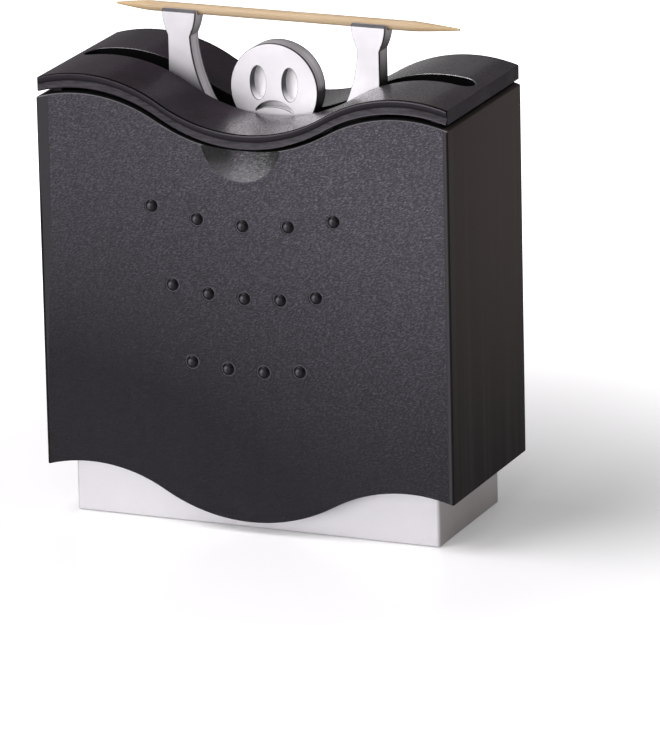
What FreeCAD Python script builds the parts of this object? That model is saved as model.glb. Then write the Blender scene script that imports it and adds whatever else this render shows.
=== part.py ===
import FreeCAD, Part
import math
import os

# Toothpick dispenser, in millimetres. +Z is up, +X runs along the front face to its right-hand end and
# +Y points to the back. The origin is the middle of the underside. A flat metal weightlifter stands on a
# weighted base. The housing with its hopper of toothpicks slides up and down over the base, so the
# weightlifter's hands dip to the hopper's floor and come up through the slotted lid with one toothpick.

Vector = FreeCAD.Vector

# ---------------------------------------------------------------- driving sizes
# Toothpick
pick_length = 65.0
pick_diameter = 1.86
pick_left_taper = 6.6           # length of the left-hand point
pick_right_taper = 8.8
pick_tip_radius = 0.2
pick_point_fullness = 0.58       # share of the radius kept half-way along a point
pick_offset_x = 2.0             # how far the lifted toothpick lies off the middle
pick_sink = 0.1                 # its axis below the hands' tops
pick_clearance = 0.15           # between the toothpick and the grooves in the hands
pick_room = 2.75                # free length past each end of a toothpick in the hopper

# Travel of the housing over the base
travel = 30.0
stop_gap = 0.1                  # left between the stop washers and the bushes at full travel

# Housing
housing_wall = 2.2
housing_depth = 34.5
housing_height = 67.25          # skirt's crest to the top edge's crest
housing_corner_radius = 0.35
housing_edge_radius = 0.2       # along the top edge and the skirt
skirt_crest_z = 10.3
scoop_radius = 7.6              # round finger scoop under the lid, as seen from the front
scoop_depth = 1.2
scoop_rise = 2.25               # its centre above the valley of the housing's top edge

# Wave that the lid, the housing's top edge and its skirt follow
crest_inset = 8.5               # crest's distance from the housing's end
wave_depth = 8.2                # crest to valley
crest_radius = 28.1
lid_wave_depth = 8.6

# Lid
lid_gap = 0.85                  # shadow gap to the housing, at the crests
lid_thickness = 2.6
lid_inset = 0.17                # lid's edge behind the housing's face
lid_edge_radius = 0.2
slot_edge_radius = 0.2
cove_depth = 0.25               # groove along the lid's front and back edges
cove_land = 0.3                 # flat edge above and below that groove
slot_end_margin = 1.7
slot_clearance = 0.5            # slot to the weightlifter's faces
lip_depth = 4.2                 # the lid's lips below the housing's top corners
lip_thickness = 1.6
lip_clearance = 0.2
lip_slot_gap = 0.9              # lips stay this far off the slot

# Base
skirt_reveal_x = 4.1            # housing's face outside the base's face, at each end
skirt_reveal_y = 3.25
base_wall = 2.0
base_corner_radius = 0.5
base_edge_radius = 0.2
deck_thickness = 2.5
deck_clearance = 1.5            # deck to the screw heads above it, with the housing down
rim_lift = 0.1                  # base's rim above the table
cover_thickness = 2.0
cover_clearance = 0.2
cover_block = 5.5               # square block in each corner for a cover screw
cover_block_height = 8.0
pad_thickness = 0.8
pad_margin_x = 4.7              # anti-slip pad inside the base's rim
pad_margin_y = 4.5
pad_corner_radius = 3.0

# Ballast
ballast_margin_x = 5.0          # ballast's end to a guide post's axis
ballast_depth = 18.0
ballast_height = 14.0
ballast_screw_spacing = 24.0

# Weightlifter, a flat plate seen from the front
plate_thickness = 3.9
hand_rise = 8.9                 # hands' tops above the lid's crests
hand_spread = 17.95             # hand's middle from the head's middle
hand_half_width = 3.25
hand_height = 4.7
hand_bevel = 0.5                # along the front and the back of the hands' tops
wrist_half_width = 2.1
arm_elbow_x = 15.0              # inner edge of the arm, half-way down
arm_elbow_drop = 5.6
arm_root_x = 11.5               # inner edge of the arm, at the gap's lowest stretch
arm_root_drop = 13.4
gap_floor_drop = 15.4           # lowest point of the gap between arm and head, below the wrist
head_radius = 8.25
head_drop = 13.0                # head's centre below the hands' tops
eye_spread = 3.0
eye_half_width = 1.5
eye_half_height = 3.05
eye_rise = 1.0                  # eyes above the head's centre
mouth_half_width = 3.75
mouth_drop = 4.2                # mouth's corners below the head's centre
mouth_upper_rise = 2.15         # middle of its upper edge above the corners
mouth_lower_rise = 1.0
face_depth = 1.9                # how deep the eyes and the mouth are sunk
mouth_corner_radius = 0.1
face_edge_radius = 0.12         # round the eyes and the mouth
figure_corner_radius = 0.3      # corners of the outline
figure_edge_radius = 0.2        # edges of the front and the back
tenon_half_width = 9.0
tenon_length = 12.0             # below the deck's top

# Brackets that clamp the weightlifter's tenon under the deck
bracket_thickness = 1.5
bracket_reach = 8.0
bracket_screw_x = 6.0
bracket_screw_reach = 4.8       # screw's axis from the tenon's face
clamp_screw_x = 5.5
clamp_screw_rise = 3.0          # above the tenon's lower end

# Guide posts, bushes and stops
post_diameter = 4.0
post_running_clearance = 0.05   # radial, in the bush
bush_wall = 1.25
bush_flange_radius = 3.8
bush_flange_thickness = 1.0
bush_length = 5.0               # below the flange
ring_thickness = 1.5            # rubber ring that the housing comes down on
ring_wall = 1.2
ring_clearance = 0.4
boss_radius = 3.5
washer_radius = 3.6
washer_thickness = 0.8

# Hopper tray
tray_clearance = 0.15
tray_wall = 1.2
tray_floor_thickness = 2.0
tray_slope = 30.0               # degrees
tray_skirt_drop = 3.0           # tray's lower edge below the underside of its floor
tray_freeboard = 1.35           # tray's long walls above the top of its slopes
figure_slot_gap_x = 0.6         # hopper's slot to the weightlifter
figure_slot_gap_y = 0.4
tray_boss_radius = 2.7
tray_boss_inset = 3.15          # boss's axis from the tray's long face

# Ledges and glide ribs inside the housing
ledge_inset = 6.6               # ledge's middle from the inside of the end wall
ledge_width = 8.0
ledge_reach = 6.0
ledge_thickness = 3.0
rib_width = 3.0
rib_clearance = 0.25            # rib to the base
rib_spread = 22.0
rib_bottom_rise = 1.7           # above the skirt's crest
rib_top_drop = 0.5              # below the ledges

# Fasteners: (shank radius, head radius, head height)
small_screw = (1.0, 1.8, 1.2)
screw = (1.25, 2.3, 1.6)
screw_grip = 6.0                # thread length in the piece that is screwed into
small_screw_grip = 5.0
hole_clearance = 0.1            # radial, in a through hole
seat_clearance = 0.03           # radial, thread or press seat within one body
nut_radius = 2.3
nut_height = 1.6
drive_slot_half_width = 0.25    # screwdriver slot in a head
drive_slot_half_length = 1.1

# Decorative studs on the front
stud_counts = (5, 5, 4)         # from the top row down
stud_top_pitch = 8.6            # spacing along the top row
stud_pitch = 6.8                # spacing along the other rows
stud_row_spacing = 13.15
stud_top_drop = 21.4            # top row's lowest stud below the housing's crests
stud_row_radius = 68.0          # each row sags along this arc
stud_radius = 1.1
stud_height = 0.5
stud_shank_radius = 0.5
stud_shank_length = 1.5
stud_halo_width = 0.3           # shallow ring round each stud
stud_halo_depth = 0.15

# ---------------------------------------------------------------- places worked out from the sizes
housing_width = pick_length + 2 * (pick_room + tray_wall + tray_clearance + housing_wall)
half_width = housing_width / 2
half_depth = housing_depth / 2
inner_x = half_width - housing_wall
inner_y = half_depth - housing_wall
top_crest_z = skirt_crest_z + housing_height
crest_x = half_width - crest_inset
corner_drop = crest_radius - math.sqrt(crest_radius ** 2 - crest_inset ** 2)
top_corner_z = top_crest_z - corner_drop
top_valley_z = top_crest_z - wave_depth

lid_x = half_width - lid_inset
lid_y = half_depth - lid_inset
lid_under_z = top_crest_z + lid_gap
lid_top_z = lid_under_z + lid_thickness
lid_valley_z = lid_top_z - lid_wave_depth
figure_top_z = lid_top_z + hand_rise
slot_half_length = lid_x - slot_end_margin
slot_half_width = plate_thickness / 2 + slot_clearance
seat_z = top_corner_z - lip_depth

pick_radius = pick_diameter / 2
pick_axis_z = figure_top_z - pick_sink
groove_radius = pick_radius + pick_clearance

plate_y = plate_thickness / 2
wrist_z = figure_top_z - hand_height
head_z = figure_top_z - head_drop
arm_outer_x = hand_spread + wrist_half_width
figure_slot_x = hand_spread + hand_half_width + figure_slot_gap_x
figure_slot_y = plate_y + figure_slot_gap_y

tray_x = inner_x - tray_clearance
tray_y = inner_y - tray_clearance
tray_inner_x = tray_x - tray_wall
tray_inner_y = tray_y - tray_wall
tray_floor_z = pick_axis_z - groove_radius - travel
tray_under_z = tray_floor_z - tray_floor_thickness
tray_skirt_z = tray_under_z - tray_skirt_drop
slope_rise = math.tan(math.radians(tray_slope))
slope_top_z = tray_floor_z + (tray_inner_y - figure_slot_y) * slope_rise
tray_side_z = slope_top_z + tray_freeboard

ledge_x = inner_x - ledge_inset
ledge_z = tray_skirt_z - ledge_thickness
tray_screw_y = tray_y - tray_boss_inset
deck_z = ledge_z - screw[2] - deck_clearance
deck_under_z = deck_z - deck_thickness

base_x = half_width - skirt_reveal_x
base_y = half_depth - skirt_reveal_y
cavity_x = base_x - base_wall
cavity_y = base_y - base_wall
cover_z = pad_thickness
cover_top_z = cover_z + cover_thickness

post_radius = post_diameter / 2
post_x = (figure_slot_x + cavity_x) / 2
bush_radius = post_radius + post_running_clearance + bush_wall
bush_bottom_z = deck_z - bush_length
ring_z = deck_z + bush_flange_thickness
boss_z = ring_z + ring_thickness
washer_top_z = bush_bottom_z - travel - stop_gap
post_bottom_z = washer_top_z

sides = (-1, 1)
tolerance = 1e-6


# ---------------------------------------------------------------- shapes used by several pieces
def box(x0, x1, y0, y1, z0, z1):
    return Part.makeBox(x1 - x0, y1 - y0, z1 - z0, Vector(x0, y0, z0))


def centred_box(half_x, half_y, z0, z1, x=0.0, y=0.0):
    return box(x - half_x, x + half_x, y - half_y, y + half_y, z0, z1)


def rod(radius, x, y, z0, z1):
    return Part.makeCylinder(radius, z1 - z0, Vector(x, y, z0))


def rod_y(radius, x, z, y0, y1):
    return Part.makeCylinder(radius, y1 - y0, Vector(x, y0, z), Vector(0, 1, 0))


def join(shapes):
    return shapes[0].multiFuse(shapes[1:]).removeSplitter()


def group(shapes):
    return Part.makeCompound(shapes)


def edges_along(shape, axis):
    # Straight edges that run along one axis.
    found = []
    for edge in shape.Edges:
        ends = [vertex.Point for vertex in edge.Vertexes]
        if len(ends) == 2 and (ends[0] - ends[1]).cross(axis).Length < tolerance:
            found.append(edge)
    return found


def edges_in_plane(shape, y):
    # Edges that lie in the upright plane at y, all but the lowest straight one.
    found = []
    for edge in shape.Edges:
        extent = edge.BoundBox
        lowest = extent.ZLength < tolerance and abs(extent.ZMin - shape.BoundBox.ZMin) < tolerance
        if abs(extent.YMin - y) < tolerance and extent.YLength < tolerance and not lowest:
            found.append(edge)
    return found


def rim_edges(block):
    # Edges round the top and the bottom of an upright block, but not the seams across a wavy face.
    upright = Vector(0, 0, 1)
    reach = block.BoundBox.XMax
    found = []
    for edge in block.Edges:
        extent = edge.BoundBox
        rises = abs(edge.tangentAt(edge.FirstParameter).dot(upright)) > 1 - tolerance
        at_end = max(abs(extent.XMin), abs(extent.XMax)) > reach - tolerance
        crosses = extent.XLength < tolerance and not at_end
        if not rises and not crosses:
            found.append(edge)
    return found


def rounded_block(half_x, half_y, z0, z1, radius):
    block = centred_box(half_x, half_y, z0, z1)
    return block.makeFillet(radius, edges_along(block, Vector(0, 0, 1)))


def line(start, end):
    return Part.makeLine(start, end)


def arc(start, middle, end):
    return Part.Arc(start, middle, end).toShape()


def arc_about(centre, radius, start, end):
    middle = (start + end) * 0.5 - centre
    middle.normalize()
    return arc(start, centre + middle * radius, end)


def wave_edges(reach, crest_z, depth, y):
    # Crest, valley and crest as three tangent arcs, from x = -reach to x = +reach.
    radii = (crest_x ** 2 + depth ** 2) / (2 * depth)
    valley_radius = radii - crest_radius
    valley = Vector(0, y, crest_z - depth + valley_radius)
    drop = crest_radius - math.sqrt(crest_radius ** 2 - (reach - crest_x) ** 2)
    left_crest = Vector(-crest_x, y, crest_z - crest_radius)
    right_crest = Vector(crest_x, y, crest_z - crest_radius)
    left_join = left_crest + (valley - left_crest) * (crest_radius / radii)
    right_join = right_crest + (valley - right_crest) * (crest_radius / radii)
    left_end = Vector(-reach, y, crest_z - drop)
    right_end = Vector(reach, y, crest_z - drop)
    return [arc_about(left_crest, crest_radius, left_end, left_join),
            arc(left_join, Vector(0, y, crest_z - depth), right_join),
            arc_about(right_crest, crest_radius, right_join, right_end)]


def wave_band(reach, low_z, low_depth, high_z, high_depth, y):
    # Face between two waves, in the plane at y.
    low = wave_edges(reach, low_z, low_depth, y)
    high = wave_edges(reach, high_z, high_depth, y)
    left = line(low[0].Vertexes[0].Point, high[0].Vertexes[0].Point)
    right = line(low[2].Vertexes[-1].Point, high[2].Vertexes[-1].Point)
    return Part.Face(Part.Wire(Part.__sortEdges__(low + high + [left, right])))


def pan_screw(size, x, y, seat_z, tip_z):
    # Head below seat_z, shank up to tip_z.
    shank_radius, head_radius, head_height = size
    head = rod(head_radius, x, y, seat_z - head_height, seat_z)
    recess = centred_box(drive_slot_half_length, drive_slot_half_width, seat_z - head_height,
                         seat_z - head_height / 2, x, y)
    return join([head, rod(shank_radius, x, y, seat_z, tip_z)]).cut(recess)


def countersunk_screw(size, x, y, face_z, tip_z):
    # Head flush with face_z, shank on to tip_z, above or below.
    shank_radius, head_radius, head_height = size
    way = 1 if tip_z > face_z else -1
    head = Part.makeCone(head_radius, shank_radius, head_height, Vector(x, y, face_z), Vector(0, 0, way))
    shank = Part.makeCylinder(shank_radius, abs(tip_z - face_z), Vector(x, y, face_z), Vector(0, 0, way))
    slot_z = face_z + way * head_height / 2
    recess = centred_box(drive_slot_half_length, drive_slot_half_width, min(face_z, slot_z), max(face_z, slot_z),
                         x, y)
    return join([head, shank]).cut(recess)


def countersink(size, x, y, face_z, through_z):
    # Hole for a countersunk screw, from its face on through the plate.
    shank_radius, head_radius, head_height = size
    way = 1 if through_z > face_z else -1
    head = Part.makeCone(head_radius + seat_clearance, shank_radius + seat_clearance, head_height,
                         Vector(x, y, face_z), Vector(0, 0, way))
    hole = Part.makeCylinder(shank_radius + hole_clearance, abs(through_z - face_z), Vector(x, y, face_z),
                             Vector(0, 0, way))
    return join([head, hole])


# ---------------------------------------------------------------- base
cover_screw_places = [(sx * (cavity_x - cover_block / 2), sy * (cavity_y - cover_block / 2))
                      for sx in sides for sy in sides]
ballast_screw_places = [(sx * ballast_screw_spacing / 2, 0.0) for sx in sides]
cover_block_top_z = cover_top_z + cover_block_height
deck_screw_y = plate_y + bracket_screw_reach
deck_screw_places = [(sx * bracket_screw_x, sy * deck_screw_y) for sx in sides for sy in sides]
deck_screw_tip_z = deck_z - bracket_thickness / 2
clamp_z = deck_z - tenon_length + clamp_screw_rise


def make_base_shell():
    outer = rounded_block(base_x, base_y, rim_lift, deck_z, base_corner_radius)
    outer = outer.makeFillet(base_edge_radius, rim_edges(outer))
    shell = outer.cut(centred_box(cavity_x, cavity_y, 0.0, deck_under_z))
    blocks = []
    for x, y in cover_screw_places:
        blocks.append(centred_box(cover_block / 2, cover_block / 2, cover_top_z, cover_block_top_z, x, y))
    shell = join([shell] + blocks)
    cuts = [centred_box(tenon_half_width + hole_clearance, plate_y + hole_clearance, deck_under_z, deck_z)]
    for x, y in cover_screw_places:
        cuts.append(rod(screw[0] + seat_clearance, x, y, cover_top_z, cover_top_z + screw_grip))
    for sx in sides:
        cuts.append(rod(bush_radius + seat_clearance, sx * post_x, 0.0, deck_under_z, deck_z))
    for x, y in deck_screw_places:
        cuts.append(rod(small_screw[0] + seat_clearance, x, y, deck_under_z, deck_screw_tip_z))
    return shell.cut(cuts)


def make_base_cover():
    cover = centred_box(cavity_x - cover_clearance, cavity_y - cover_clearance, cover_z, cover_top_z)
    holes = [countersink(screw, x, y, cover_z, cover_top_z)
             for x, y in cover_screw_places + ballast_screw_places]
    return cover.cut(holes)


def make_cover_screws():
    return group([countersunk_screw(screw, x, y, cover_z, cover_top_z + screw_grip)
                  for x, y in cover_screw_places])


def make_ballast_block():
    half_x = post_x - ballast_margin_x
    block = centred_box(half_x, ballast_depth / 2, cover_top_z, cover_top_z + ballast_height)
    holes = [rod(screw[0] + seat_clearance, x, y, cover_top_z, cover_top_z + screw_grip)
             for x, y in ballast_screw_places]
    return block.cut(holes)


def make_ballast_screws():
    return group([countersunk_screw(screw, x, y, cover_z, cover_top_z + screw_grip)
                  for x, y in ballast_screw_places])


def make_anti_slip_pad():
    return rounded_block(base_x - pad_margin_x, base_y - pad_margin_y, 0.0, pad_thickness, pad_corner_radius)


# ---------------------------------------------------------------- weightlifter
def figure_outline(side):
    # Half of the outline above the deck, from the head's top to the foot's middle.
    def at(x, z):
        return Vector(side * x, -plate_y, z)

    hand_in = hand_spread - hand_half_width
    hand_out = hand_spread + hand_half_width
    wrist_in = hand_spread - wrist_half_width
    cup_step = hand_half_width - wrist_half_width
    cup_radius = (cup_step ** 2 + hand_height ** 2) / (2 * cup_step)
    cup_z = figure_top_z - hand_height / 2
    cup_bulge = cup_radius - math.sqrt(cup_radius ** 2 - (hand_height / 2) ** 2)
    root_z = wrist_z - arm_root_drop
    neck = math.radians(45)
    neck_x = head_radius * math.sin(neck)
    neck_z = head_z - head_radius * math.cos(neck)
    gap_x = (neck_x + arm_root_x) / 2
    return [
        arc(at(0, head_z + head_radius), at(head_radius, head_z), at(neck_x, neck_z)),
        arc(at(neck_x, neck_z), at(gap_x, wrist_z - gap_floor_drop), at(arm_root_x, root_z)),
        arc(at(arm_root_x, root_z), at(arm_elbow_x, wrist_z - arm_elbow_drop), at(wrist_in, wrist_z)),
        arc(at(wrist_in, wrist_z), at(hand_in + cup_bulge, cup_z), at(hand_in, figure_top_z)),
        line(at(hand_in, figure_top_z), at(hand_out, figure_top_z)),
        arc(at(hand_out, figure_top_z), at(hand_out - cup_bulge, cup_z), at(arm_outer_x, wrist_z)),
        line(at(arm_outer_x, wrist_z), at(arm_outer_x, deck_z)),
        line(at(arm_outer_x, deck_z), at(0, deck_z)),
    ]


def hand_bevels():
    # Wedges along the front and the back of both hands' tops.
    reach = hand_spread + hand_half_width
    wedges = []
    for sy in sides:
        corner = Vector(-reach, sy * plate_y, figure_top_z)
        points = [corner, corner + Vector(0, -sy * hand_bevel, 0), corner + Vector(0, 0, -hand_bevel), corner]
        wedges.append(Part.Face(Part.makePolygon(points)).extrude(Vector(2 * reach, 0, 0)))
    return wedges


def make_lifter_figure():
    outline = Part.Wire(figure_outline(1) + figure_outline(-1)[::-1])
    plate = Part.Face(outline).extrude(Vector(0, plate_thickness, 0))
    corners = [edge for edge in edges_along(plate, Vector(0, 1, 0))
               if edge.BoundBox.ZMin > deck_z and abs(edge.BoundBox.XMin) > tolerance]
    plate = plate.makeFillet(figure_corner_radius, corners)
    plate = plate.makeFillet(figure_edge_radius, edges_in_plane(plate, -plate_y) + edges_in_plane(plate, plate_y))
    tenon = centred_box(tenon_half_width, plate_y, deck_z - tenon_length, deck_z)
    figure = join([plate, tenon])
    reach = hand_spread + hand_half_width
    cuts = hand_bevels()
    cuts.append(Part.makeCylinder(groove_radius, 2 * reach, Vector(-reach, 0, pick_axis_z), Vector(1, 0, 0)))
    front = -plate_y
    for sx in sides:
        eye = Part.Ellipse(Vector(0, 0, 0), eye_half_height, eye_half_width).toShape()
        eye = Part.Face(Part.Wire(eye))
        eye.rotate(Vector(0, 0, 0), Vector(0, 0, 1), 90)
        eye.rotate(Vector(0, 0, 0), Vector(1, 0, 0), 90)
        eye.translate(Vector(sx * eye_spread, front, head_z + eye_rise))
        cuts.append(eye.extrude(Vector(0, face_depth, 0)))
        cuts.append(rod_y(small_screw[0] + hole_clearance, sx * clamp_screw_x, clamp_z, front, plate_y))
    mouth_z = head_z - mouth_drop
    left_corner = Vector(-mouth_half_width, front, mouth_z)
    right_corner = Vector(mouth_half_width, front, mouth_z)
    upper = arc(left_corner, Vector(0, front, mouth_z + mouth_upper_rise), right_corner)
    lower = arc(right_corner, Vector(0, front, mouth_z + mouth_lower_rise), left_corner)
    mouth = Part.Face(Part.Wire([upper, lower])).extrude(Vector(0, face_depth, 0))
    cuts.append(mouth.makeFillet(mouth_corner_radius, edges_along(mouth, Vector(0, 1, 0))))
    figure = figure.cut(cuts)
    feature_x = max(eye_spread + eye_half_width, mouth_half_width) + tolerance
    rims = [edge for edge in edges_in_plane(figure, front)
            if edge.BoundBox.XMax < feature_x and edge.BoundBox.XMin > -feature_x
            and edge.BoundBox.ZMin > mouth_z - tolerance and edge.BoundBox.ZMax < head_z + head_radius / 2]
    return figure.makeFillet(face_edge_radius, rims)


def make_figure_bracket(side):
    # L bracket: one leg under the deck, one leg on the tenon's face.
    near = side * plate_y
    far = side * (plate_y + bracket_reach)
    leg = side * (plate_y + bracket_thickness)
    low_z = deck_z - tenon_length
    flat = box(-tenon_half_width, tenon_half_width, min(near, far), max(near, far),
               deck_under_z - bracket_thickness, deck_under_z)
    upright = box(-tenon_half_width, tenon_half_width, min(near, leg), max(near, leg), low_z, deck_under_z)
    cuts = []
    for sx in sides:
        cuts.append(rod(small_screw[0] + hole_clearance, sx * bracket_screw_x, side * deck_screw_y,
                        deck_under_z - bracket_thickness, deck_under_z))
        cuts.append(rod_y(small_screw[0] + hole_clearance, sx * clamp_screw_x, clamp_z,
                          min(near, leg), max(near, leg)))
    return join([flat, upright]).cut(cuts)


def make_bracket_screws():
    return group([pan_screw(small_screw, x, y, deck_under_z - bracket_thickness, deck_screw_tip_z)
                  for x, y in deck_screw_places])


clamp_face_y = plate_y + bracket_thickness


def make_clamp_screws():
    screws = []
    shank_radius, head_radius, head_height = small_screw
    for sx in sides:
        head = rod_y(head_radius, sx * clamp_screw_x, clamp_z, -clamp_face_y - head_height, -clamp_face_y)
        shank = rod_y(shank_radius, sx * clamp_screw_x, clamp_z, -clamp_face_y, clamp_face_y + nut_height)
        screws.append(join([head, shank]))
    return group(screws)


def make_clamp_nuts():
    nuts = []
    for sx in sides:
        corners = []
        for step in range(7):
            angle = math.radians(60 * step)
            corners.append(Vector(sx * clamp_screw_x + nut_radius * math.cos(angle), clamp_face_y,
                                  clamp_z + nut_radius * math.sin(angle)))
        blank = Part.Face(Part.makePolygon(corners)).extrude(Vector(0, nut_height, 0))
        hole = rod_y(small_screw[0] + seat_clearance, sx * clamp_screw_x, clamp_z,
                     clamp_face_y, clamp_face_y + nut_height)
        nuts.append(blank.cut(hole))
    return group(nuts)


# ---------------------------------------------------------------- guides and stops
def make_guide_bush(side):
    x = side * post_x
    body = rod(bush_radius, x, 0.0, bush_bottom_z, deck_z)
    flange = rod(bush_flange_radius, x, 0.0, deck_z, ring_z)
    return join([body, flange]).cut(rod(post_radius + post_running_clearance, x, 0.0, bush_bottom_z, ring_z))


def make_bump_rings():
    inner_radius = post_radius + ring_clearance
    rings = []
    for sx in sides:
        ring = rod(inner_radius + ring_wall, sx * post_x, 0.0, ring_z, boss_z)
        rings.append(ring.cut(rod(inner_radius, sx * post_x, 0.0, ring_z, boss_z)))
    return group(rings)


def make_guide_post(side):
    x = side * post_x
    post = rod(post_radius, x, 0.0, post_bottom_z, tray_under_z)
    hole_radius = small_screw[0] + seat_clearance
    lower_hole = rod(hole_radius, x, 0.0, post_bottom_z, post_bottom_z + small_screw_grip)
    upper_hole = rod(hole_radius, x, 0.0, tray_under_z - small_screw_grip, tray_under_z)
    return post.cut([lower_hole, upper_hole])


def make_post_top_screws():
    return group([countersunk_screw(small_screw, sx * post_x, 0.0, tray_floor_z,
                                    tray_under_z - small_screw_grip) for sx in sides])


def make_stop_washers():
    washers = []
    for sx in sides:
        disc = rod(washer_radius, sx * post_x, 0.0, washer_top_z - washer_thickness, washer_top_z)
        hole = rod(small_screw[0] + hole_clearance, sx * post_x, 0.0,
                   washer_top_z - washer_thickness, washer_top_z)
        washers.append(disc.cut(hole))
    return group(washers)


def make_stop_screws():
    return group([pan_screw(small_screw, sx * post_x, 0.0, washer_top_z - washer_thickness,
                            post_bottom_z + small_screw_grip) for sx in sides])


# ---------------------------------------------------------------- housing
def stud_places():
    places = []
    for row, count in enumerate(stud_counts):
        pitch = stud_top_pitch if row == 0 else stud_pitch
        row_z = top_crest_z - stud_top_drop - row * stud_row_spacing
        for index in range(count):
            x = (index - (count - 1) / 2) * pitch
            sag = stud_row_radius - math.sqrt(stud_row_radius ** 2 - x ** 2)
            places.append((x, row_z + sag))
    return places


def make_housing_shell():
    front = wave_band(half_width, skirt_crest_z, wave_depth, top_crest_z, wave_depth, -half_depth)
    shell = front.extrude(Vector(0, housing_depth, 0))
    shell = shell.makeFillet(housing_corner_radius, edges_along(shell, Vector(0, 0, 1)))
    shell = shell.makeFillet(housing_edge_radius, rim_edges(shell))
    shell = shell.cut(centred_box(inner_x, inner_y, 0.0, top_crest_z))
    ribs = []
    rib_z0 = skirt_crest_z + rib_bottom_rise
    rib_z1 = ledge_z - rib_top_drop
    for sy in sides:
        for sx in sides:
            near = sy * (base_y + rib_clearance)
            wall = sy * inner_y
            ribs.append(box(sx * rib_spread - rib_width / 2, sx * rib_spread + rib_width / 2,
                            min(near, wall), max(near, wall), rib_z0, rib_z1))
            shelf = sy * (inner_y - ledge_reach)
            ribs.append(box(sx * ledge_x - ledge_width / 2, sx * ledge_x + ledge_width / 2,
                            min(shelf, wall), max(shelf, wall), ledge_z, tray_skirt_z))
    for sx in sides:
        near = sx * (base_x + rib_clearance)
        wall = sx * inner_x
        ribs.append(box(min(near, wall), max(near, wall), -rib_width / 2, rib_width / 2, rib_z0, rib_z1))
    shell = join([shell] + ribs)
    cuts = []
    for sx in sides:
        for sy in sides:
            cuts.append(rod(screw[0] + hole_clearance, sx * ledge_x, sy * tray_screw_y, ledge_z, tray_skirt_z))
    ball_radius = (scoop_radius ** 2 + scoop_depth ** 2) / (2 * scoop_depth)
    cuts.append(Part.makeSphere(ball_radius, Vector(0, -half_depth + scoop_depth - ball_radius,
                                                    top_valley_z + scoop_rise)))
    for x, z in stud_places():
        face_y = -half_depth
        cuts.append(rod_y(stud_shank_radius + seat_clearance, x, z, face_y, face_y + stud_shank_length))
        halo = rod_y(stud_radius + stud_halo_width, x, z, face_y, face_y + stud_halo_depth)
        cuts.append(halo.cut(rod_y(stud_radius, x, z, face_y, face_y + stud_halo_depth)))
    return shell.cut(cuts)


def make_front_studs():
    face_y = -half_depth
    ball_radius = (stud_radius ** 2 + stud_height ** 2) / (2 * stud_height)
    studs = []
    for x, z in stud_places():
        ball = Part.makeSphere(ball_radius, Vector(x, face_y - stud_height + ball_radius, z))
        dome = ball.common(box(x - stud_radius, x + stud_radius, face_y - stud_height, face_y,
                               z - stud_radius, z + stud_radius))
        studs.append(join([dome, rod_y(stud_shank_radius, x, z, face_y, face_y + stud_shank_length)]))
    return group(studs)


def tray_profile(floor_z, slope_z, far_z):
    # Trough across Y: a flat bottom, two slopes and upright sides, closed at far_z.
    flat_y = tray_inner_y - (slope_z - floor_z) / slope_rise
    points = [(-tray_inner_y, far_z), (-tray_inner_y, slope_z), (-flat_y, floor_z),
              (flat_y, floor_z), (tray_inner_y, slope_z), (tray_inner_y, far_z)]
    corners = [Vector(-tray_inner_x, y, z) for y, z in points]
    return Part.Face(Part.makePolygon(corners + [corners[0]])).extrude(Vector(2 * tray_inner_x, 0, 0))


def make_hopper_tray():
    slope_drop = tray_floor_thickness / math.cos(math.radians(tray_slope))
    hollow = tray_profile(tray_under_z, slope_top_z - slope_drop, tray_skirt_z)
    pieces = [centred_box(tray_x, tray_y, tray_skirt_z, tray_side_z).cut(hollow)]
    cuts = [tray_profile(tray_floor_z, slope_top_z, seat_z + lip_depth),
            centred_box(figure_slot_x, figure_slot_y, tray_skirt_z, slope_top_z)]
    for sx in sides:
        near = sx * tray_inner_x
        far = sx * tray_x
        pieces.append(box(min(near, far), max(near, far), -tray_y, tray_y, tray_side_z, seat_z))
        pieces.append(rod(boss_radius, sx * post_x, 0.0, boss_z, tray_floor_z))
        cuts.append(rod(post_radius + seat_clearance, sx * post_x, 0.0, boss_z, tray_under_z))
        cuts.append(countersink(small_screw, sx * post_x, 0.0, tray_floor_z, tray_under_z))
        for sy in sides:
            x = sx * ledge_x
            y = sy * tray_screw_y
            pieces.append(rod(tray_boss_radius, x, y, tray_skirt_z, slope_top_z))
            cuts.append(rod(screw[0] + seat_clearance, x, y, tray_skirt_z, tray_skirt_z + screw_grip))
    return join(pieces).cut(cuts)


def make_tray_screws():
    return group([pan_screw(screw, sx * ledge_x, sy * tray_screw_y, ledge_z, tray_skirt_z + screw_grip)
                  for sx in sides for sy in sides])


# ---------------------------------------------------------------- lid and toothpick
def end_z(crest_z):
    # Height of a wave at the lid's end.
    return crest_z - crest_radius + math.sqrt(crest_radius ** 2 - (lid_x - crest_x) ** 2)


def cove_cutters():
    # V-shaped groove along each long side, where two slanted wave-shaped wedges meet.
    low_z = lid_under_z + cove_land
    high_z = lid_top_z - cove_land
    middle_z = (low_z + high_z) / 2
    half_height = middle_z - low_z
    cutters = []
    for sy in sides:
        y = sy * lid_y
        inward = Vector(0, -sy * cove_depth, 0)
        under = wave_band(lid_x, low_z - lid_thickness, lid_wave_depth, high_z, lid_wave_depth, y)
        above = wave_band(lid_x, low_z, lid_wave_depth, high_z + lid_thickness, lid_wave_depth, y)
        cutters.append(under.extrude(inward + Vector(0, 0, -half_height)).common(
            above.extrude(inward + Vector(0, 0, half_height))))
    return cutters


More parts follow.
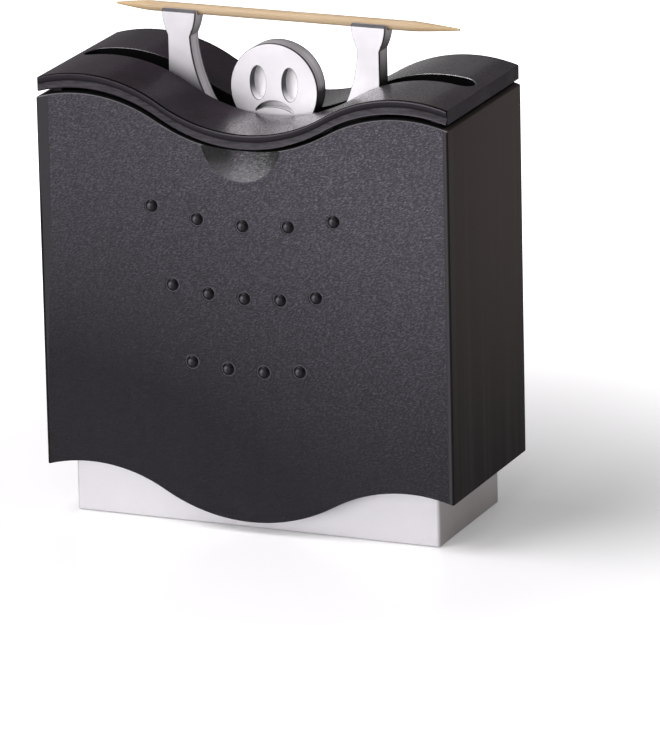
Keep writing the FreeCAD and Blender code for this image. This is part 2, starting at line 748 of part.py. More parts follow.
def make_lid():
    side = wave_band(lid_x, lid_under_z, lid_wave_depth, lid_top_z, lid_wave_depth, -lid_y)
    lid = side.extrude(Vector(0, 2 * lid_y, 0))
    lid = lid.makeFillet(housing_corner_radius, edges_along(lid, Vector(0, 0, 1)))
    lid = lid.makeFillet(lid_edge_radius, rim_edges(lid))
    lid = lid.cut(cove_cutters())
    lip_outer_x = inner_x - lip_clearance
    lip_outer_y = inner_y - lip_clearance
    lip_inner_y = slot_half_width + lip_slot_gap
    lips = []
    for sx in sides:
        near = sx * (lip_outer_x - lip_thickness)
        far = sx * lip_outer_x
        for sy in sides:
            y0 = sy * lip_inner_y
            y1 = sy * lip_outer_y
            lips.append(box(min(near, far), max(near, far), min(y0, y1), max(y0, y1),
                            seat_z, end_z(lid_under_z) + lid_thickness / 2))
    lid = join([lid] + lips)
    straight = slot_half_length - slot_half_width
    low_z = lid_under_z - lid_wave_depth - lip_depth
    slot = [centred_box(straight, slot_half_width, low_z, lid_top_z + lid_thickness)]
    for sx in sides:
        slot.append(rod(slot_half_width, sx * straight, 0.0, low_z, lid_top_z + lid_thickness))
    lid = lid.cut(join(slot))
    slot_rim = []
    for edge in lid.Edges:
        extent = edge.BoundBox
        inside_slot = max(abs(extent.YMin), abs(extent.YMax)) < slot_half_width + tolerance
        on_crest = extent.ZMax > lid_under_z + lid_thickness / 2
        in_valley = abs(extent.ZMin - lid_valley_z) < tolerance
        if inside_slot and (on_crest or in_valley) and extent.XLength > tolerance:
            slot_rim.append(edge)
    return lid.makeFillet(slot_edge_radius, slot_rim)


def make_toothpick():
    half = pick_length / 2
    left = pick_left_taper - half
    right = half - pick_right_taper
    half_radius = pick_tip_radius + (pick_radius - pick_tip_radius) * pick_point_fullness

    def at(x, r):
        return Vector(x, 0, r)

    edges = [line(at(-half, 0), at(-half, pick_tip_radius)),
             arc(at(-half, pick_tip_radius), at((left - half) / 2, half_radius), at(left, pick_radius)),
             line(at(left, pick_radius), at(right, pick_radius)),
             arc(at(right, pick_radius), at((right + half) / 2, half_radius), at(half, pick_tip_radius)),
             line(at(half, pick_tip_radius), at(half, 0)),
             line(at(half, 0), at(-half, 0))]
    profile = Part.Face(Part.Wire(edges))
    pick = profile.revolve(Vector(0, 0, 0), Vector(1, 0, 0), 360)
    pick.translate(Vector(pick_offset_x, 0, pick_axis_z))
    return pick


# ---------------------------------------------------------------- nodes
nodes = {
    "base_shell": make_base_shell(),
    "base_cover": make_base_cover(),
    "base_cover_screws": make_cover_screws(),
    "ballast_block": make_ballast_block(),
    "ballast_screws": make_ballast_screws(),
    "anti_slip_pad": make_anti_slip_pad(),
    "lifter_figure": make_lifter_figure(),
    "figure_bracket_front": make_figure_bracket(-1),
    "figure_bracket_back": make_figure_bracket(1),
    "bracket_screws": make_bracket_screws(),
    "clamp_screws": make_clamp_screws(),
    "clamp_nuts": make_clamp_nuts(),
    "guide_bush_left": make_guide_bush(-1),
    "guide_bush_right": make_guide_bush(1),
    "bump_rings": make_bump_rings(),
    "housing_shell": make_housing_shell(),
    "front_studs": make_front_studs(),
    "hopper_tray": make_hopper_tray(),
    "tray_screws": make_tray_screws(),
    "guide_post_left": make_guide_post(-1),
    "guide_post_right": make_guide_post(1),
    "post_top_screws": make_post_top_screws(),
    "stop_washers": make_stop_washers(),
    "stop_screws": make_stop_screws(),
    "lid": make_lid(),
    "toothpick": make_toothpick(),
}

os.makedirs("parts", exist_ok=True)
for name, shape in nodes.items():
    shape.exportStep("parts/" + name + ".step")
    extent = shape.BoundBox
    print("%-22s solids %2d valid %s volume %9.1f  z %6.2f to %6.2f"
          % (name, len(shape.Solids), shape.isValid(), shape.Volume, extent.ZMin, extent.ZMax))
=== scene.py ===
import math
import bmesh
import bpy
from mathutils import Matrix, Vector, noise


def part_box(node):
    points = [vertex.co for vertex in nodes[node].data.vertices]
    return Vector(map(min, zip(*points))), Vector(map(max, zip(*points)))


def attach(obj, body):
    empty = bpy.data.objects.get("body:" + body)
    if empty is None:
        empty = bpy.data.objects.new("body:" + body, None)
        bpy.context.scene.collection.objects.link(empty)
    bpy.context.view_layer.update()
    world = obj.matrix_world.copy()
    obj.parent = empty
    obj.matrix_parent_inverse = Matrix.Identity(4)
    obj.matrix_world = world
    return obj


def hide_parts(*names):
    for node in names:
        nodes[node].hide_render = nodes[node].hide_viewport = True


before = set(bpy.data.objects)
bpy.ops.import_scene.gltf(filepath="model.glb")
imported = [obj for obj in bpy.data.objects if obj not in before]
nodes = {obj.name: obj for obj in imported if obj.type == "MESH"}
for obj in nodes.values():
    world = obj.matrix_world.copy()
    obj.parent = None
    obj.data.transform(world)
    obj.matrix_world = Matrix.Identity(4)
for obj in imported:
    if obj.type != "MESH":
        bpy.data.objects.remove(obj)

scene = bpy.context.scene
mm = 0.001
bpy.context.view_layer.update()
print("frame loaded:", len(nodes), "nodes")

# Camera

cameraView = {
    "azimuth": 23.057,           # degrees round from the front to the right-hand side
    "elevation": 16.636,
    "roll": -1.285,
    "aim": (0.0, 0.0, 40.0),     # mm
    "offset": (8.266, -15.074),  # mm that the view's middle lies right of the aim and above it
    "distance": 1325.332,        # mm from the aim
    "lens": 360.7,               # mm
    "sensor": 36.0,              # mm wide
    "clip": (0.05, 20.0),        # m
}


def makeCamera(view):
    azimuth, elevation, roll = (math.radians(view[key]) for key in ("azimuth", "elevation", "roll"))
    back = Vector((math.sin(azimuth) * math.cos(elevation), -math.cos(azimuth) * math.cos(elevation),
                   math.sin(elevation)))
    right = Vector((math.cos(azimuth), math.sin(azimuth), 0.0))
    up = back.cross(right)
    right, up = (right * math.cos(roll) + up * math.sin(roll), up * math.cos(roll) - right * math.sin(roll))
    across, rise = view["offset"]
    place = (Vector(view["aim"]) + right * across + up * rise + back * view["distance"]) * mm
    data = bpy.data.cameras.new("camera")
    data.lens = view["lens"]
    data.sensor_width = view["sensor"]
    data.clip_start, data.clip_end = view["clip"]
    camera = bpy.data.objects.new("camera", data)
    scene.collection.objects.link(camera)
    axes = Matrix((right, up, back)).transposed().to_4x4()
    camera.matrix_world = Matrix.Translation(place) @ axes
    scene.camera = camera


makeCamera(cameraView)
scene.view_settings.view_transform = "Standard"
print("camera ready")

# Helpers for shader trees

nodeStep = (180, -220)  # from one node to the next in the editor
nodesPerRow = 12


def wire(tree, target, value):
    # a socket is linked, a plain value is set
    if isinstance(value, bpy.types.NodeSocket):
        tree.links.new(value, target)
    else:
        target.default_value = value


def addNode(tree, kind, inputs=None, **settings):
    node = tree.nodes.new(kind)
    row, column = divmod(len(tree.nodes), nodesPerRow)
    node.location = (nodeStep[0] * column, nodeStep[1] * row)
    for name, value in settings.items():
        setattr(node, name, value)
    for key, value in (inputs or {}).items():
        wire(tree, node.inputs[key], value)
    return node


def calc(tree, operation, *values, clamp=False):
    return addNode(tree, "ShaderNodeMath", dict(enumerate(values)), operation=operation,
                   use_clamp=clamp).outputs[0]


def product(tree, first, *others):
    for value in others:
        first = calc(tree, "MULTIPLY", first, value)
    return first


def vectorCalc(tree, operation, *vectors):
    node = addNode(tree, "ShaderNodeVectorMath", dict(enumerate(vectors)), operation=operation)
    return node.outputs["Value" if operation in ("DISTANCE", "DOT_PRODUCT", "LENGTH") else "Vector"]


def fade(tree, value, start, end, low=0.0, high=1.0):
    # smooth step from low to high as value goes from start to end
    return addNode(tree, "ShaderNodeMapRange", {0: value, 1: start, 2: end, 3: low, 4: high},
                   interpolation_type="SMOOTHSTEP").outputs[0]


def between(tree, share, first, second):
    return fade(tree, share, 0.0, 1.0, first, second)


def blendColours(tree, share, first, second, way="MIX"):
    return addNode(tree, "ShaderNodeMix", {0: share, 6: first, 7: second}, data_type="RGBA",
                   blend_type=way).outputs[2]


def objectPoint(tree):
    return addNode(tree, "ShaderNodeTexCoord").outputs["Object"]


def split(tree, vector):
    return addNode(tree, "ShaderNodeSeparateXYZ", {0: vector}).outputs


def metres(lengths):
    return [length * mm for length in lengths]


def newGroup(name, inputs, output):
    group = bpy.data.node_groups.new(name, "ShaderNodeTree")
    for label, value in inputs.items():
        kind = "NodeSocketVector" if isinstance(value, tuple) else "NodeSocketFloat"
        group.interface.new_socket(label, in_out="INPUT", socket_type=kind).default_value = value
    group.interface.new_socket(output, in_out="OUTPUT", socket_type="NodeSocketFloat")
    start = group.nodes.new("NodeGroupInput")
    end = group.nodes.new("NodeGroupOutput")
    start.location = (-nodeStep[0], 0)
    end.location = (nodeStep[0] * (nodesPerRow + 1), 0)
    return group, start.outputs, end.inputs[output]


def useGroup(tree, group, **inputs):
    return addNode(tree, "ShaderNodeGroup", inputs, node_tree=group).outputs[0]


# Effects that several finishes share, each a group of its own

effects = {
    "fold": {"Scale": 1.0, "Detail": 2.0, "Roughness": 0.55, "Distortion": 0.6},
    "foldRange": (0.35, 0.65),          # noise at a fold's foot and its crest
    "pebble": {"Scale": 1.0, "Smoothness": 0.8},
    "pebbleRange": (0.75, 0.1),         # cells from a pebble's middle, at its foot and its top
    "mottle": {"Scale": 1.0, "Detail": 4.0, "Roughness": 0.6},
    "mottleRange": (0.3, 0.7),
    "bevelSamples": 4,
}


def makeStretchedPoint(tree, cells, lean=0.0):
    # object's own millimetres, turned about Y by the lean and divided by the size of a cell along each axis
    inMm = vectorCalc(tree, "MULTIPLY", objectPoint(tree), (1 / mm, 1 / mm, 1 / mm))
    turned = addNode(tree, "ShaderNodeVectorRotate", {"Vector": inMm, "Angle": lean}, rotation_type="Y_AXIS")
    return vectorCalc(tree, "DIVIDE", turned.outputs[0], cells)


def makePebbleGrain():
    # height of rounded pebbles, with the folds between them added by their share
    group, given, result = newGroup("pebbleGrain", {"Cells": (1.0, 1.0, 1.0), "Wrinkle": 1.0, "Lean": 0.0},
                                    "Height")
    point = makeStretchedPoint(group, given["Cells"], given["Lean"])
    ripple = addNode(group, "ShaderNodeTexNoise", {"Vector": point, **effects["fold"]}).outputs[0]
    pebble = addNode(group, "ShaderNodeTexVoronoi", {"Vector": point, **effects["pebble"]},
                     feature="SMOOTH_F1").outputs[0]
    rounded = fade(group, pebble, *effects["pebbleRange"])
    folded = fade(group, ripple, *effects["foldRange"])
    wire(group, result, calc(group, "ADD", calc(group, "MULTIPLY", folded, given["Wrinkle"]), rounded))
    return group


def makeMottle():
    # clouds or streaks from 0 to the most
    group, given, result = newGroup("mottle", {"Cells": (1.0, 1.0, 1.0), "Most": 1.0}, "Value")
    point = makeStretchedPoint(group, given["Cells"])
    cloud = addNode(group, "ShaderNodeTexNoise", {"Vector": point, **effects["mottle"]}).outputs[0]
    wire(group, result, fade(group, cloud, *effects["mottleRange"], 0.0, given["Most"]))
    return group


def makeFaceMask():
    # 1 where the surface faces along the axis, or either way with Both at 1, and 0 past the angle
    group, given, result = newGroup("faceMask", {"Axis": (0.0, 0.0, 1.0), "Off": 0.0, "On": 1.0, "Both": 0.0},
                                    "Mask")
    normal = addNode(group, "ShaderNodeTexCoord").outputs["Normal"]
    lean = vectorCalc(group, "DOT_PRODUCT", normal, given["Axis"])
    away = product(group, lean, -1.0, given["Both"])
    wire(group, result, fade(group, calc(group, "MAXIMUM", lean, away), given["Off"], given["On"]))
    return group


def makeEdgeMask():
    # 1 along outer and inner edges, from the difference between the plain and the rounded normal
    group, given, result = newGroup("edgeMask", {"Width": mm, "Strength": 1.0}, "Mask")
    rounded = addNode(group, "ShaderNodeBevel", {"Radius": given["Width"]}, samples=effects["bevelSamples"])
    plain = addNode(group, "ShaderNodeNewGeometry").outputs["Normal"]
    turn = vectorCalc(group, "DOT_PRODUCT", rounded.outputs[0], plain)
    bend = calc(group, "SUBTRACT", 1.0, turn)
    wire(group, result, calc(group, "MULTIPLY", bend, given["Strength"], clamp=True))
    return group


pebbleGrain = makePebbleGrain()
mottle = makeMottle()
faceMask = makeFaceMask()
edgeMask = makeEdgeMask()
axes = {"right": (1.0, 0.0, 0.0), "left": (-1.0, 0.0, 0.0), "back": (0.0, 1.0, 0.0),
        "front": (0.0, -1.0, 0.0), "up": (0.0, 0.0, 1.0), "down": (0.0, 0.0, -1.0)}
print("shared effects built")


def facing(tree, axis, span, both=0.0):
    # span is the cosines to the axis where the mask is 0 and 1
    off, on = span
    return useGroup(tree, faceMask, Axis=axes[axis], Off=off, On=on, Both=both)


def mottled(tree, cells, most=1.0):
    return useGroup(tree, mottle, Cells=cells, Most=most)


def newFinish(name, base, settings):
    # a material with one Principled shader, its plain values set on the shader itself
    material = bpy.data.materials.new(name)
    material.use_nodes = True
    tree = material.node_tree
    shader = tree.nodes["Principled BSDF"]
    shader.location = (nodeStep[0] * (nodesPerRow + 1), 0)
    tree.nodes["Material Output"].location = (nodeStep[0] * (nodesPerRow + 3), 0)
    for label, value in {"Base Color": base, **settings}.items():
        shader.inputs[label].default_value = value
    material.diffuse_color = base
    return material, tree, shader


def addBump(tree, shader, height, depth):
    bump = addNode(tree, "ShaderNodeBump", {"Height": height, "Distance": depth * mm, "Strength": 1.0})
    wire(tree, shader.inputs["Normal"], bump.outputs[0])


def dress(material, *names):
    for name in names:
        for slot in nodes[name].material_slots:
            slot.link = "OBJECT"
            slot.material = material


def colour(red, green, blue):
    return (red, green, blue, 1.0)


# Housing: black plastic, grained on the front and back, drawn smooth on the ends

housingLook = {
    "faceHigh": colour(0.0965, 0.0890, 0.1085),  # painted light, lighter at the top edge
    "faceLow": colour(0.0105, 0.0088, 0.0132),   # painted shade, darker at the skirt
    "borderLeft": colour(0.016, 0.014, 0.017),   # smooth strips beside the grain, painted darker on the left as shade
    "borderRight": colour(0.032, 0.029, 0.033),
    "halo": colour(0.115, 0.105, 0.125),         # painted highlight in the groove round each stud
    # painted shade in the scoop
    "scoop": colour(0.023, 0.017, 0.028),
    # painted light and shade on the ends: lighter high up, darker low down
    "endHigh": colour(0.046, 0.0360, 0.0335),
    "endLow": colour(0.015, 0.0115, 0.0115),
    "endBack": colour(1.30, 1.30, 1.28),         # painted light, lighter towards the back
    # streaks drawn on the ends, shown where the ends are painted lighter, high up and towards the back
    "streak": colour(0.078, 0.064, 0.056),
    # painted highlight along the rounded top edge
    "topEdge": colour(0.150, 0.142, 0.155),
    # painted shade along the rounded corners and the left edge
    "corner": colour(0.004, 0.004, 0.004),
    # painted shade, black on the wall tops that the lid covers
    "underLid": colour(0.003, 0.003, 0.003),
    "faceTurn": (0.7, 0.9),             # cosines to the front or back, from the ends' finish to the faces'
    "edgeTurn": (0.15, 0.35),           # to the front or back, from a flat top to its edges
    "cornerTurn": (0.04, 0.14),         # to either end
    "upTurn": (0.12, 0.35),
    "sideways": (-0.30, 0.12),          # share of the height added to the face's tone at the left and right, as painted light
    "grainCells": (0.58, 0.42, 0.15),   # mm
    "grainWrinkle": 1.6,                # folds against pebbles
    "grainLean": 0.45,                  # radians that the wrinkles rise to the right
    "grainDepth": 0.09,                 # mm
    "grainRange": (1.0, 2.1),           # grain's height in its hollows and on its ridges
    "grainContrast": 1.08,              # painted highlight on the ridges and painted shade in the hollows, as a share of the tone
    "grainShown": (0.75, 0.90),         # at the lower left, and at the top and the right
    "grainReach": (0.20, 1.25),         # height and width added up, where those two hold
    "leftMargin": (0.3, 2.3),           # mm of smooth border, at the skirt and at the crests
    "rightMargin": 0.8,
    "marginFade": (0.1, 0.3),           # mm outside and inside the border's edge
    "leftLine": 0.60,                   # mm of painted shade, a dark line along the left edge
    "lineTop": (0.95, 0.75),            # share of the height where the line starts and is full
    "haloRise": (0.04, 0.10),           # mm behind the front, where the studs' rings start and are full
    "haloFall": (0.40, 0.20),           # and where they end and start to fade
    "scoopDrop": 5.95,                  # mm from the crests to the scoop's middle
    "scoopRadius": 7.6,
    "scoopGloss": 0.50,                 # coat weight
    "scoopLit": (0.35, 1.30),           # share of that in the grain's hollows and on its ridges
    "backShare": (0.20, 1.0),           # of the ends' lighter tone, at the front and the back
    "streakCells": (2.2, 2.2, 160.0),   # mm
    "rimShown": 0.9,                    # mm of plain top inside each end
    "soft": 0.1,                        # mm over which an edge between two tones fades
    "faceRoughness": (0.46, 0.53),
    "endRoughness": (0.72, 0.84),
    "shader": {"Specular IOR Level": 0.22, "Coat Roughness": 0.22, "Coat IOR": 1.5},
}


def finishHousing(look):
    material, tree, shader = newFinish("grained black plastic", look["faceHigh"], look["shader"])
    face = facing(tree, "back", look["faceTurn"], both=1.0)
    point = objectPoint(tree)
    place = split(tree, point)
    low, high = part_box("housing_shell")
    soft = look["soft"] * mm
    height = fade(tree, place[2], low.z, high.z)
    across = fade(tree, place[0], low.x, high.x)

    marginBelow, marginAbove = metres(look["leftMargin"])
    fadeOut, fadeIn = metres(look["marginFade"])
    leftEdge = between(tree, height, low.x + marginBelow, low.x + marginAbove)
    rightEdge = high.x - look["rightMargin"] * mm
    inLeft = fade(tree, calc(tree, "SUBTRACT", place[0], leftEdge), -fadeOut, fadeIn)
    inRight = fade(tree, place[0], rightEdge + fadeOut, rightEdge - fadeIn)
    inside = product(tree, inLeft, inRight)

    grain = useGroup(tree, pebbleGrain, Cells=look["grainCells"], Wrinkle=look["grainWrinkle"],
                     Lean=look["grainLean"])
    shown = fade(tree, calc(tree, "ADD", height, across), *look["grainReach"], *look["grainShown"])
    # the grain's ridges painted lighter and its hollows darker, as painted highlight and shade
    ridge = calc(tree, "SUBTRACT", fade(tree, grain, *look["grainRange"]), 0.5)
    contrast = product(tree, shown, look["grainContrast"])
    relief = calc(tree, "ADD", 1.0, product(tree, ridge, contrast))
    # painted light and shade: the face lighter towards the top and the right, darker at the skirt and the
    # left
    sideways = fade(tree, place[0], low.x, high.x, *look["sideways"])
    faceTone = blendColours(tree, calc(tree, "ADD", height, sideways), look["faceLow"], look["faceHigh"])
    faceTone = blendColours(tree, 1.0, faceTone, relief, "MULTIPLY")
    # painted shade: the smooth border darker towards the left
    border = blendColours(tree, across, look["borderLeft"], look["borderRight"])
    faceTone = blendColours(tree, inside, border, faceTone)

    # painted shade, a dark line along the left edge
    lineEdge = low.x + look["leftLine"] * mm
    leftLine = product(tree, fade(tree, place[0], lineEdge, lineEdge - soft),
                       fade(tree, height, *look["lineTop"]))
    faceTone = blendColours(tree, leftLine, faceTone, look["corner"])
    # painted highlight in the groove round each stud
    rise, fall = ([low.y + depth for depth in metres(look[key])] for key in ("haloRise", "haloFall"))
    ring = product(tree, fade(tree, place[1], *rise), fade(tree, place[1], *fall))
    faceTone = blendColours(tree, ring, faceTone, look["halo"])
    # painted shade: the scoop darker than the face
    scoopMiddle = (0.0, low.y, high.z - look["scoopDrop"] * mm)
    scoopEdge = look["scoopRadius"] * mm
    scoop = fade(tree, vectorCalc(tree, "DISTANCE", point, scoopMiddle), scoopEdge, scoopEdge - 2 * soft)
    faceTone = blendColours(tree, scoop, faceTone, look["scoop"])

    streak = mottled(tree, look["streakCells"])
    # painted light and shade on the ends, lighter high up and towards the back, with the streaks
    towardsBack = fade(tree, place[1], low.y, high.y, *look["backShare"])
    endTone = blendColours(tree, height, look["endLow"], look["endHigh"])
    endTone = blendColours(tree, towardsBack, endTone, look["endBack"], "MULTIPLY")
    endTone = blendColours(tree, product(tree, streak, height, towardsBack), endTone, look["streak"])
    tone = blendColours(tree, face, endTone, faceTone)

    turnedX = facing(tree, "right", look["cornerTurn"], both=1.0)
    turnedY = facing(tree, "back", look["edgeTurn"], both=1.0)
    turnedUp = facing(tree, "up", look["upTurn"])
    flat = calc(tree, "SUBTRACT", 1.0, turnedY)
    rimEdge = high.x - look["rimShown"] * mm
    covered = fade(tree, calc(tree, "ABSOLUTE", place[0]), rimEdge + soft, rimEdge - soft)
    # painted shade on the rounded corners and painted highlight on the rounded top edge
    tone = blendColours(tree, product(tree, turnedX, turnedY), tone, look["corner"])
    tone = blendColours(tree, product(tree, turnedUp, turnedY), tone, look["topEdge"])
    # painted shade, black on the wall tops that the lid covers
    shade = product(tree, covered, turnedUp, flat)
    wire(tree, shader.inputs["Base Color"], blendColours(tree, shade, tone, look["underLid"]))

    lit = fade(tree, grain, *look["grainRange"], *look["scoopLit"])
    wire(tree, shader.inputs["Coat Weight"], product(tree, scoop, face, look["scoopGloss"], lit))
    faceRoughness = between(tree, streak, *look["faceRoughness"])
    endRoughness = between(tree, streak, *look["endRoughness"])
    roughness = between(tree, face, endRoughness, faceRoughness)
    unlit = calc(tree, "MAXIMUM", shade, product(tree, leftLine, face))
    wire(tree, shader.inputs["Roughness"], calc(tree, "MAXIMUM", roughness, unlit))
    grainy = product(tree, face, inside, shown)
    addBump(tree, shader, product(tree, grain, grainy), look["grainDepth"])
    return material


dress(finishHousing(housingLook), "housing_shell")
print("housing dressed")

# Lid: smooth plastic that mirrors the weightlifter in its valley, with a fine speckle

lidLook = {
    "dark": colour(0.0165, 0.0115, 0.0160),
    "light": colour(0.0320, 0.0235, 0.0315),
    "landLeft": colour(0.032, 0.028, 0.034),   # painted highlight on the flat edges above and below the groove, weaker at the left
    "landRight": colour(0.100, 0.092, 0.104),
    "underHigh": colour(0.026, 0.022, 0.028),  # painted shade on the groove's upper flank, from its top down
    "underLow": colour(0.008, 0.007, 0.009),
    "rimHigh": colour(0.015, 0.013, 0.016),    # and painted light on its lower one, lighter towards its foot
    "rimLow": colour(0.031, 0.027, 0.033),
    "paintedLight": colour(0.066, 0.061, 0.070),       # painted highlight in streaks along that
    # painted shade: a dark line along the top of the long edges, and black inside the slot
    "line": colour(0.003, 0.003, 0.003),
    "inside": colour(0.003, 0.003, 0.003),
    "cloud": (9.0, 9.0, 9.0),           # mm
    "sheenStreakCells": (3.5, 8.0, 0.5),
    "sheenStreakMost": 0.6,
    "speckle": (0.34, 0.34, 0.34),      # mm
    "speckleWrinkle": 0.8,
    "speckleDepth": 0.03,               # mm
    "speckleRange": (0.5, 1.2),         # speckle's height, between its grains and on them
    "speckleGloss": 0.66,               # share of the coat left between its grains
    "topTurn": (0.35, 0.75),            # cosines upwards
    "frontTurn": (0.75, 0.92),          # to the front or back
    "roundTurn": (0.05, 0.15),          # the same, for the rounding at the top of the long edges
    "flankTurn": (0.10, 0.20),          # up or down, for the groove's flanks
    "rightTurn": (0.05, 0.25),          # to the right, for the duller slopes
    "coveDepth": (0.25, 0.02),          # mm from the long edges to the groove's bottom and its lips
    "edgeLine": 0.60,                   # mm of painted shade along the top of the long edges
    "edgeBand": (15.0, 15.5),           # mm from the middle, outside which an edge counts as rounded
    "topGloss": 1.0,                    # coat weight on the wavy top, where it doesn't lean to the right
    "flankGloss": (0.14, 0.36),         # where it leans to the right, in the valley and past the crest
    "flankReach": 20.0,                 # mm from the middle to where the second holds
    "edgeGloss": 0.012,
    "leftGloss": 0.31,                  # share of the gloss left at the left end
    "leftReach": (-30.0, -2.0),         # mm across, from that share to all of it
    "slotHalfWidth": 2.45,              # mm
    "slotHalfLength": 36.93,
    "soft": 0.1,                        # mm over which an edge between two tones fades
    "roughness": (0.40, 0.55),
    "shader": {"Specular IOR Level": 0.05, "Coat Roughness": 0.26, "Coat IOR": 4.0},
}


def finishLid(look):
    material, tree, shader = newFinish("satin black plastic", look["dark"], look["shader"])
    cloud = mottled(tree, look["cloud"])
    top = facing(tree, "up", look["topTurn"])
    front = facing(tree, "back", look["frontTurn"], both=1.0)
    leaning = facing(tree, "back", look["roundTurn"], both=1.0)
    upFlank = facing(tree, "up", look["flankTurn"])
    underFlank = facing(tree, "down", look["flankTurn"])
    place = split(tree, objectPoint(tree))
    acrossX = calc(tree, "ABSOLUTE", place[0])
    acrossY = calc(tree, "ABSOLUTE", place[1])
    low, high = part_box("lid")
    soft = look["soft"] * mm

    halfWidth = look["slotHalfWidth"] * mm
    halfLength = look["slotHalfLength"] * mm
    pastStraight = calc(tree, "MAXIMUM", calc(tree, "SUBTRACT", acrossX, halfLength - halfWidth), 0.0)
    squares = calc(tree, "ADD", calc(tree, "POWER", pastStraight, 2.0), calc(tree, "POWER", acrossY, 2.0))
    inside = fade(tree, calc(tree, "SQRT", squares), halfWidth + soft / 2, halfWidth)

    tone = blendColours(tree, cloud, look["dark"], look["light"])
    # painted light and shade on the long edges: highlight on the lands, shade on the groove's upper flank,
    # light on its lower one, with streaks of highlight
    bottom, lips = metres(look["coveDepth"])
    outward = fade(tree, acrossY, high.y - bottom, high.y - lips)
    underTone = blendColours(tree, outward, look["underLow"], look["underHigh"])
    rimTone = blendColours(tree, outward, look["rimHigh"], look["rimLow"])
    rimTone = blendColours(tree, mottled(tree, look["sheenStreakCells"], look["sheenStreakMost"]), rimTone, look["paintedLight"])
    landTone = blendColours(tree, fade(tree, place[0], low.x, high.x), look["landLeft"], look["landRight"])
    tone = blendColours(tree, front, tone, landTone)
    tone = blendColours(tree, product(tree, front, underFlank), tone, underTone)
    tone = blendColours(tree, product(tree, front, upFlank), tone, rimTone)
    # painted shade along the top of the long edges and on their rounding
    lineStart = high.y - look["edgeLine"] * mm
    beside = product(tree, top, fade(tree, acrossY, lineStart - soft, lineStart + soft))
    outer = fade(tree, acrossY, *metres(look["edgeBand"]))
    rounded = product(tree, leaning, outer, calc(tree, "SUBTRACT", 1.0, front))
    edge = calc(tree, "MAXIMUM", beside, rounded)
    tone = blendColours(tree, edge, tone, look["line"])
    # painted shade, black inside the slot
    wire(tree, shader.inputs["Base Color"], blendColours(tree, inside, tone, look["inside"]))

    rightward = facing(tree, "right", look["rightTurn"])
    flankGloss = fade(tree, place[0], 0.0, look["flankReach"] * mm, *look["flankGloss"])
    topGloss = between(tree, rightward, look["topGloss"], flankGloss)
    leftGloss = fade(tree, place[0], *metres(look["leftReach"]), look["leftGloss"], 1.0)
    speckle = useGroup(tree, pebbleGrain, Cells=look["speckle"], Wrinkle=look["speckleWrinkle"])
    speckled = fade(tree, speckle, *look["speckleRange"], look["speckleGloss"], 1.0)
    shade = calc(tree, "MAXIMUM", inside, edge)
    gloss = product(tree, between(tree, top, look["edgeGloss"], topGloss), leftGloss, speckled,
                    calc(tree, "SUBTRACT", 1.0, shade))
    wire(tree, shader.inputs["Coat Weight"], gloss)
    roughness = between(tree, cloud, *look["roughness"])
    wire(tree, shader.inputs["Roughness"], calc(tree, "MAXIMUM", roughness, shade))
    addBump(tree, shader, speckle, look["speckleDepth"])
    return material


dress(finishLid(lidLook), "lid")
print("lid dressed")

# Studs: polished domes, with a painted highlight to the left of each crown

studLook = {
    "dark": colour(0.0015, 0.0008, 0.0025),
    "light": colour(0.0030, 0.0020, 0.0040),
    "paintedGlint": colour(0.105, 0.098, 0.110),  # painted highlight to the left of the crown
    "cloud": (1.2, 1.2, 1.2),           # mm
    "crownTurn": (0.84, 0.98),          # cosines to the front, where the painted highlight starts and is full
    "leftTurn": (-0.12, 0.26),
    "upTurn": (-0.40, 0.25),
    "roughness": (0.24, 0.30),
    "shader": {"Specular IOR Level": 0.12},
}


def finishStuds(look):
    material, tree, shader = newFinish("polished black domes", look["dark"], look["shader"])
    cloud = mottled(tree, look["cloud"])
    tone = blendColours(tree, cloud, look["dark"], look["light"])
    # painted highlight to the left of each dome's crown
    paintedGlint = product(tree, facing(tree, "front", look["crownTurn"]), facing(tree, "left", look["leftTurn"]),
                     facing(tree, "up", look["upTurn"]))
    wire(tree, shader.inputs["Base Color"], blendColours(tree, paintedGlint, tone, look["paintedGlint"]))
    wire(tree, shader.inputs["Roughness"], between(tree, cloud, *look["roughness"]))
    return material


dress(finishStuds(studLook), "front_studs")
print("studs dressed")
